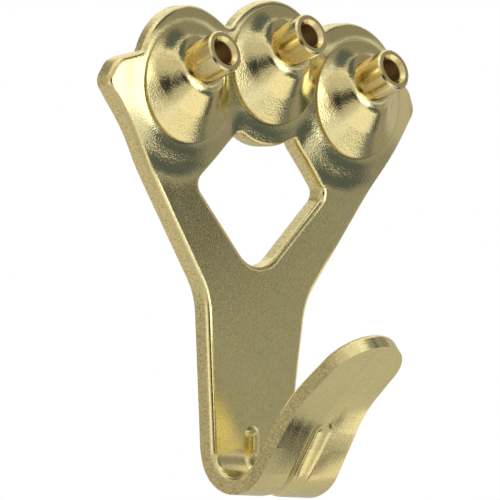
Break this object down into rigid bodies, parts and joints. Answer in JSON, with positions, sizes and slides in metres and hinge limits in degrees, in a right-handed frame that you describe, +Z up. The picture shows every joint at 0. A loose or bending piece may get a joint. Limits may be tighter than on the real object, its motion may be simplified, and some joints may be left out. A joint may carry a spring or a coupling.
{
  "type": "picture hook",
  "caption": "Brass-plated stamped picture hook with leaning nail bushings on dished lobes, a diamond window between its arms, and a beaded bend with a flared lip.",
  "frame": {"origin": "on the back of the stem, on the plate's line of symmetry, in the wall plane", "axes": "+X to the right seen from the front, +Y into the wall, +Z up"},
  "size_m": [0.0502, 0.0228, 0.0569],
  "materials": {
    "plated_plate": "bright brass plating on stamped steel",
    "bushing_brass": "turned, bright"
  },
  "bodies": {
    "root": {"hook_plate": "plated_plate", "nail_bushing_left": "bushing_brass", "nail_bushing_middle": "bushing_brass", "nail_bushing_right": "bushing_brass"}
  },
  "joints": []
}
